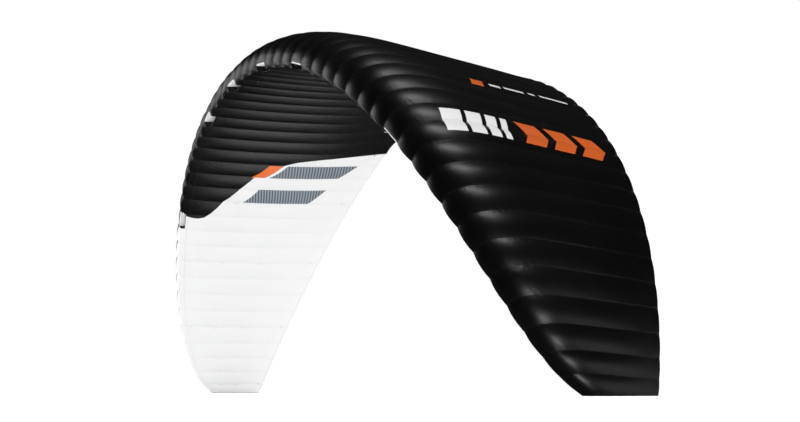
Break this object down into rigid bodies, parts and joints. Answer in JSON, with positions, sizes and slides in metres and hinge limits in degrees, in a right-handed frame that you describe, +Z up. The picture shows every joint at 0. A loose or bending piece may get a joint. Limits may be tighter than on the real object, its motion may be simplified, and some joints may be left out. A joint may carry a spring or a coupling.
{
  "type": "foil kite",
  "caption": "Inflated ram-air foil kite canopy: ribbed double-skin cells in a tall arch with swept tips, small intakes with flap valves under the nose, and a deflation zip.",
  "frame": {"origin": "on the ground under the middle of the canopy, at the centre of its bounding box's base", "axes": "+X to the right tip, +Y back to the trailing edge, +Z up from the tips to the crown"},
  "size_m": [6.3394, 1.412, 2.0765],
  "materials": {
    "black_ripstop": "smooth coated ripstop, satin",
    "grey_tape": "woven tape",
    "rib_cloth": "plain cloth",
    "slider_metal": "dark plated metal",
    "valve_cloth": "plain coated cloth",
    "white_ripstop": "smooth coated ripstop, satin",
    "zip_plastic": "moulded, satin"
  },
  "bodies": {
    "canopy": {"load_rib_01": "rib_cloth", "load_rib_02": "rib_cloth", "load_rib_03": "rib_cloth", "load_rib_04": "rib_cloth", "load_rib_05": "rib_cloth", "load_rib_06": "rib_cloth", "load_rib_07": "rib_cloth", "load_rib_08": "rib_cloth", "load_rib_09": "rib_cloth", "load_rib_10": "rib_cloth", "load_rib_11": "rib_cloth", "load_rib_12": "rib_cloth", "load_rib_13": "rib_cloth", "load_rib_14": "rib_cloth", "lower_skin_01": "white_ripstop", "lower_skin_02": "white_ripstop", "lower_skin_03": "white_ripstop", "lower_skin_04": "white_ripstop", "lower_skin_05": "white_ripstop", "lower_skin_06": "black_ripstop", "lower_skin_07": "black_ripstop", "lower_skin_08": "black_ripstop", "lower_skin_09": "black_ripstop", "lower_skin_10": "black_ripstop", "lower_skin_11": "white_ripstop", "lower_skin_12": "white_ripstop", "lower_skin_13": "white_ripstop", "lower_skin_14": "white_ripstop", "lower_skin_15": "white_ripstop", "nose_strip_centre": "black_ripstop", "nose_strip_left": "white_ripstop", "nose_strip_right": "white_ripstop", "tip_rib_left": "black_ripstop", "tip_rib_right": "black_ripstop", "trailing_edge_tape_centre": "grey_tape", "trailing_edge_tape_left": "grey_tape", "trailing_edge_tape_right": "grey_tape", "upper_skin_centre": "black_ripstop", "upper_skin_left_inner": "black_ripstop", "upper_skin_left_outer": "black_ripstop", "upper_skin_left_tip": "black_ripstop", "upper_skin_right_inner": "black_ripstop", "upper_skin_right_outer": "black_ripstop", "upper_skin_right_tip": "black_ripstop", "zip_tape": "zip_plastic"},
    "valve_1": {"intake_valve_1": "valve_cloth"},
    "valve_2": {"intake_valve_2": "valve_cloth"},
    "valve_3": {"intake_valve_3": "valve_cloth"},
    "valve_4": {"intake_valve_4": "valve_cloth"},
    "valve_5": {"intake_valve_5": "valve_cloth"},
    "valve_6": {"intake_valve_6": "valve_cloth"},
    "zip_runner": {"zip_slider": "slider_metal", "zip_puller": "slider_metal"}
  },
  "joints": [
    {"name": "intake_valve_1_hinge", "type": "hinge", "parent": "canopy", "child": "valve_1", "pos_m": [-2.13586, -0.57881, 1.22752], "axis": [-0.8043, 0.1299, -0.5799], "range_deg": [0, 15]},
    {"name": "intake_valve_2_hinge", "type": "hinge", "parent": "canopy", "child": "valve_2", "pos_m": [-0.96487, -0.68799, 1.77384], "axis": [-0.9666, 0.0423, -0.2528], "range_deg": [0, 15]},
    {"name": "intake_valve_3_hinge", "type": "hinge", "parent": "canopy", "child": "valve_3", "pos_m": [-0.32474, -0.70449, 1.88351], "axis": [-0.9964, 0.0101, -0.0843], "range_deg": [0, 15]},
    {"name": "intake_valve_4_hinge", "type": "hinge", "parent": "canopy", "child": "valve_4", "pos_m": [0.32474, -0.70449, 1.88351], "axis": [-0.9964, -0.0101, 0.0843], "range_deg": [0, 15]},
    {"name": "intake_valve_5_hinge", "type": "hinge", "parent": "canopy", "child": "valve_5", "pos_m": [0.96487, -0.68799, 1.77384], "axis": [-0.9666, -0.0423, 0.2528], "range_deg": [0, 15]},
    {"name": "intake_valve_6_hinge", "type": "hinge", "parent": "canopy", "child": "valve_6", "pos_m": [2.13586, -0.57881, 1.22752], "axis": [-0.8043, -0.1299, 0.5799], "range_deg": [0, 15]},
    {"name": "zip_slide", "type": "slide", "parent": "canopy", "child": "zip_runner", "axis": [-1, 0, 0], "range_m": [0, 0.11]}
  ]
}
